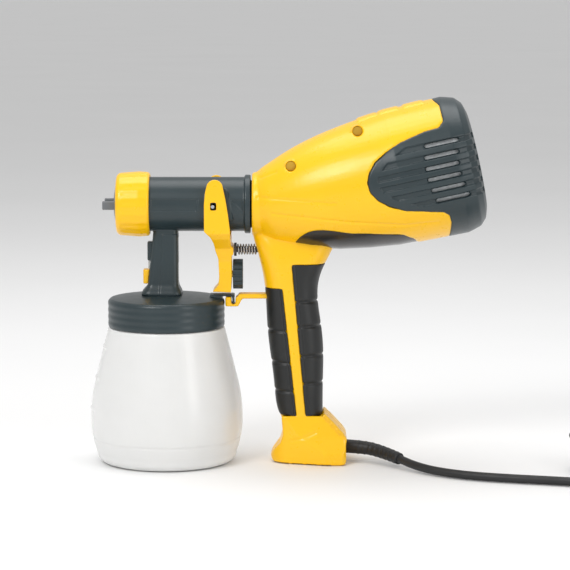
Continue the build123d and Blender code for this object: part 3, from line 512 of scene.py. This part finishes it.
CORD_R = 3.1
SLEEVE_R = 5.5
SLEEVE_ROUTE = [(128, 0, 10.6), (148, -2, 10.2), (163, -13, 8.2), (174, -29, 6.3)]
CORD_ROUTE = [
    (184, -44, 4.4), (198, -60, 3.4), (222, -76, 3.2), (252, -86, 3.2),
    (284, -94, 3.2), (314, -103, 3.2),
]  # fmt: skip
COIL_CENTRE = (352.0, -66.0)
COIL_RADII = (40.2, 34.0, 27.8)
TURN_POINTS = 24
COIL_START = -100.0  # degrees, where the lead comes to the outer turn
COIL_LAYERS = (3.2, 9.4, 15.6)
PLUG_END = [
    (357.0, -27.5, 16.8), (340.0, -19.8, 18.6), (320.0, -18.0, 21.0), (306.5, -23.0, 23.2),
    (301.8, -34.0, 25.0), (305.0, -44.0, 26.0), (312.0, -46.0, 26.0), (322.0, -46.0, 26.0),
]  # fmt: skip


def coil_places():
    """The coil's points: three turns inwards on the floor, three outwards on them, part of a turn on top."""
    inwards = [(radius, COIL_LAYERS[0]) for radius in COIL_RADII]
    outwards = [(radius, COIL_LAYERS[1]) for radius in reversed(COIL_RADII)]
    turns = inwards + outwards + [(COIL_RADII[1], COIL_LAYERS[2])]
    grow = 1 / math.cos(math.pi / TURN_POINTS)  # a curve of this kind runs inside its points
    places = []
    for number, (radius, height) in enumerate(turns[:-1]):
        next_radius, next_height = turns[number + 1]
        for point in range(TURN_POINTS):
            share = max(0.0, (point - TURN_POINTS * 5 / 6) / (TURN_POINTS / 6))
            angle = math.radians(COIL_START + 360.0 * point / TURN_POINTS)
            reach = (radius + (next_radius - radius) * share) * grow
            rise = height + (next_height - height) * share
            places.append((reach * math.cos(angle), reach * math.sin(angle), rise))
    radius, height = turns[-1]
    for point in range(TURN_POINTS * 5 // 12):
        angle = math.radians(COIL_START + 360.0 * point / TURN_POINTS)
        places.append((radius * grow * math.cos(angle), radius * grow * math.sin(angle), height))
    return [(COIL_CENTRE[0] + x, COIL_CENTRE[1] + y, z) for x, y, z in places]


def route_curve(name, route, radius):
    """A smooth curve whose control points are the route's, in mm."""
    curve = bpy.data.curves.new(name, "CURVE")
    curve.dimensions = "3D"
    spline = curve.splines.new("NURBS")
    spline.points.add(len(route) - 1)
    for point, place in zip(spline.points, route):
        point.co = (place[0] * MM, place[1] * MM, place[2] * MM, 1.0)
    spline.order_u = 3
    spline.use_endpoint_u = True
    spline.resolution_u = 8
    curve.bevel_depth = radius * MM
    curve.bevel_resolution = 5
    curve.use_fill_caps = True
    piece = bpy.data.objects.new(name, curve)
    bpy.context.collection.objects.link(piece)
    return piece


def curve_places(route):
    """Points along the route's smooth curve, in mm."""
    guide = route_curve("guide", route, 0.0)
    mesh = bpy.data.meshes.new_from_object(guide)
    places = [vertex.co / MM for vertex in mesh.vertices]
    bpy.data.objects.remove(guide)
    bpy.data.meshes.remove(mesh)
    return places


def tube_mesh(name, places, radii, sides):
    """A closed round tube that follows the places, with its own radius at each."""
    mesh = bmesh.new()
    rings = []
    side_axis = Vector((0, 0, 1)).cross(places[1] - places[0]).normalized()
    for index, place in enumerate(places):
        ahead = places[min(index + 1, len(places) - 1)] - places[max(index - 1, 0)]
        ahead.normalize()
        side_axis = (side_axis - ahead * side_axis.dot(ahead)).normalized()
        up_axis = ahead.cross(side_axis)
        ring = []
        for number in range(sides):
            angle = 2 * math.pi * number / sides
            offset = side_axis * math.cos(angle) + up_axis * math.sin(angle)
            ring.append(mesh.verts.new((place + offset * radii[index]) * MM))
        rings.append(ring)
    for first, second in zip(rings, rings[1:]):
        for number in range(sides):
            after = (number + 1) % sides
            mesh.faces.new((first[number], first[after], second[after], second[number]))
    mesh.faces.new(reversed(rings[0]))
    mesh.faces.new(rings[-1])
    bmesh.ops.recalc_face_normals(mesh, faces=mesh.faces)
    data = bpy.data.meshes.new(name)
    mesh.to_mesh(data)
    mesh.free()
    smooth_shading(data)
    piece = bpy.data.objects.new(name, data)
    bpy.context.collection.objects.link(piece)
    return piece


def resampled(places, count):
    """The same line with evenly spaced points."""
    line = np.array([tuple(place) for place in places])
    gone = np.concatenate([[0.0], np.cumsum(np.linalg.norm(np.diff(line, axis=0), axis=1))])
    stations = np.linspace(0.0, gone[-1], count)
    return [Vector([np.interp(station, gone, line[:, axis]) for axis in range(3)]) for station in stations]


SLEEVE_RINGS = 11
RING_HEIGHT = 0.2


def add_sleeve():
    """The tapered bend protector, ringed along its free end."""
    places = resampled(curve_places(SLEEVE_ROUTE), 140)
    radii = []
    for index in range(len(places)):
        share = index / (len(places) - 1)
        ring = RING_HEIGHT * max(0.0, math.sin(share * 2 * math.pi * SLEEVE_RINGS)) * (0.25 < share < 0.95)
        radii.append(SLEEVE_R - 0.2 - 0.9 * share + ring)
    return take_over(tube_mesh("cord_sleeve_ringed", places, radii, 28), "cord_sleeve")


def add_cord(sleeve):
    cord = route_curve("cord_lead", SLEEVE_ROUTE + CORD_ROUTE + coil_places() + PLUG_END, CORD_R)
    take_over(cord, "cord")
    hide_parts("cord_coil")


# ---------------------------------------------------------------- springs

POINTS_IN_TURN = 20


def add_spring(node, wire, turns):
    """A coil of wire along X that fills the box of the CAD node."""
    low, high = (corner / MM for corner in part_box(node))
    middle = (low + high) / 2
    radius = (high.z - low.z) / 2 - wire
    length = high.x - low.x - 2 * wire
    places = []
    for index in range(turns * POINTS_IN_TURN + 1):
        angle = 2 * math.pi * index / POINTS_IN_TURN
        x = low.x + wire + length * index / (turns * POINTS_IN_TURN)
        places.append(Vector((x, middle.y + radius * math.cos(angle), middle.z + radius * math.sin(angle))))
    return take_over(tube_mesh(node + "_wire", places, [wire] * len(places), 8), node)


# ---------------------------------------------------------------- the scene

add_camera()
materials = make_materials()
add_floor(materials["floor"])
add_world()
add_area_light("key", (-0.9, -1.5, 1.5), (0.8, 0.8), 20.0)
add_area_light("fill", (1.3, -1.3, 0.7), (0.5, 1.4), 7.0)
add_area_light("top", (0.1, 0.3, 1.6), (1.4, 1.0), 12.0)

for name, node in nodes.items():
    node.data.materials.clear()
    node.data.materials.append(materials[slot_of[name]])

# the screw heads get steel with a painted yellow reflection of the recesses they sit in
nodes["housing_screws"].data.materials[0] = materials["screw_painted_reflection"]

plug = moulded("plug_body", 0.5, 6)
add_cord(add_sleeve())

moulded("left_housing", 0.7, 14, housing_shape)
moulded("right_housing", 0.7, 14, housing_shape)
moulded("rear_cover", 0.55, 8, rear_cover_shape)
moulded("front_grip", 0.5, 10, grip_shape((100.2, 76.2, 54.5), STRIP_FRONTS))
moulded("rear_grip", 0.5, 10, grip_shape((122.0, 103.6, 81.5, 60.5), STRIP_REARS))
moulded("belly_panel", 0.5, 10)
moulded("cup", 0.7, 8, cup_shape)
moulded("cup_lid", 0.5, 9, lid_shape)
nut_low, nut_high = (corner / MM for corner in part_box("union_nut"))
nut_radius = (nut_high.z - nut_low.z) / 2
nut_ribs = round_ribs(
    BARREL_Z, NUT_RIBS, NUT_RIB_HEIGHT, nut_low.x + 5, nut_high.x - 2, nut_radius - 2.5,
)  # fmt: skip
moulded("union_nut", 0.45, 8, nut_ribs)
moulded("barrel", 0.45, 6, barrel_shape)
moulded("trigger", 0.4, 8)
moulded("flow_knob", 0.35, 4)
moulded("air_cap", 0.35, 4)
moulded("vent_valve_cap", 0.4, 4)
moulded("cord_clamp", 0.5, 3)
add_spring("needle_spring", 0.45, 11)
plunger_wire = add_spring("plunger_spring", 0.5, 7)
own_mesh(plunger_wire)  # fmt: skip
